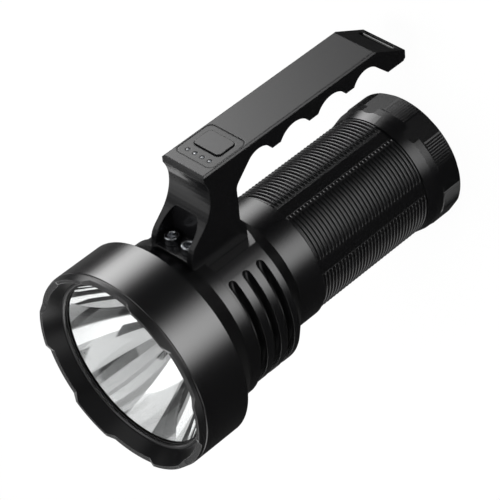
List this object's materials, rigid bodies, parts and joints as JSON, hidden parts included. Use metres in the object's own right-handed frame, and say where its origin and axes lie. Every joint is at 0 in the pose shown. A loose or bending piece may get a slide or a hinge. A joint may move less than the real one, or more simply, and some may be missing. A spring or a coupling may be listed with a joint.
{
  "type": "rechargeable flashlight",
  "caption": "Large rechargeable flashlight: deep reflector in a crenellated head, slotted heat-sink neck, ribbed battery tube, and a top handle with finger grooves and a power key.",
  "frame": {"origin": "centre of the tail cap's rear face, on which the light stands", "axes": "+Z along the beam to the front rim; +X towards the handle; the light mirrors itself in the plane Y = 0"},
  "size_m": [0.1347, 0.1, 0.191],
  "materials": {
    "anodised_black": "satin hard-anodised",
    "bare_aluminium": "fine turned",
    "seal_rubber": "matte",
    "clear_glass": "clear, coated",
    "reflector_mirror": "vacuum coated",
    "white_plastic": "matte",
    "led_phosphor": "glossy",
    "copper_board": "bare copper with a white mask",
    "screw_steel": "plated",
    "red_wire": "silicone sleeve",
    "green_board": "solder mask",
    "black_plastic": "moulded",
    "gold_contact": "plated",
    "port_steel": "drawn",
    "cell_sleeve": "shrink sleeve",
    "button_grey": "satin",
    "light_pipe": "clear polycarbonate",
    "black_steel": "black oxide"
  },
  "bodies": {
    "lamp": {"head_shell": "anodised_black", "lens_ring": "anodised_black", "lens_gasket": "seal_rubber", "front_lens": "clear_glass", "reflector": "reflector_mirror", "led_seat_ring": "white_plastic", "led_emitter": "led_phosphor", "led_board": "copper_board", "led_board_screws": "screw_steel", "led_wires": "red_wire", "head_seal": "seal_rubber", "heat_sink_body": "anodised_black", "driver_board": "green_board", "driver_components": "black_plastic", "driver_screws": "screw_steel", "contact_board": "green_board", "contact_board_screws": "screw_steel", "contact_springs": "gold_contact", "charge_port": "port_steel", "charge_board": "green_board", "charge_pins": "gold_contact", "port_cover_strap": "seal_rubber", "front_tube_seal": "seal_rubber", "tail_tube_seal": "seal_rubber", "battery_tube": "anodised_black", "cell_1": "cell_sleeve", "cell_2": "cell_sleeve", "cell_3": "cell_sleeve", "cell_4": "cell_sleeve", "holder_front_plate": "white_plastic", "holder_rear_plate": "white_plastic", "holder_rod": "bare_aluminium", "holder_screws": "screw_steel", "holder_contacts": "gold_contact", "handle": "anodised_black", "handle_screws": "black_steel", "handle_pins": "screw_steel", "handle_seal": "seal_rubber", "switch_panel": "anodised_black", "panel_gasket": "seal_rubber", "button_switch": "port_steel", "switch_board": "green_board", "indicator_lights": "light_pipe", "switch_wires": "red_wire", "lanyard_bar": "screw_steel"},
    "button": {"power_button": "button_grey"},
    "cover": {"port_cover": "seal_rubber"},
    "tail_carrier": {"tail_board": "green_board", "tail_contacts": "gold_contact"},
    "tail": {"tail_cap": "anodised_black", "tail_board_screw": "screw_steel"}
  },
  "joints": [
    {"name": "button_press", "type": "slide", "parent": "lamp", "child": "button", "axis": [-1, 0, 0], "range_m": [0, 0.0008], "stiffness_N_per_m": 1500, "springref_m": -0.0002},
    {"name": "cover_open", "type": "hinge", "parent": "lamp", "child": "cover", "pos_m": [-0.0337, 0, 0.1083], "axis": [0, -1, 0], "range_deg": [0, 120]},
    {"name": "tail_slide", "type": "slide", "parent": "lamp", "child": "tail_carrier", "axis": [0, 0, -1], "range_m": [0, 0.012]},
    {"name": "tail_turn", "type": "hinge", "parent": "tail_carrier", "child": "tail", "pos_m": [0, 0, 0], "axis": [0, 0, -1], "range_deg": [0, 2160]}
  ],
  "couplings": [
    {"joint": "tail_slide", "follows": "tail_turn", "m_per_rad": 0.0003183}
  ]
}
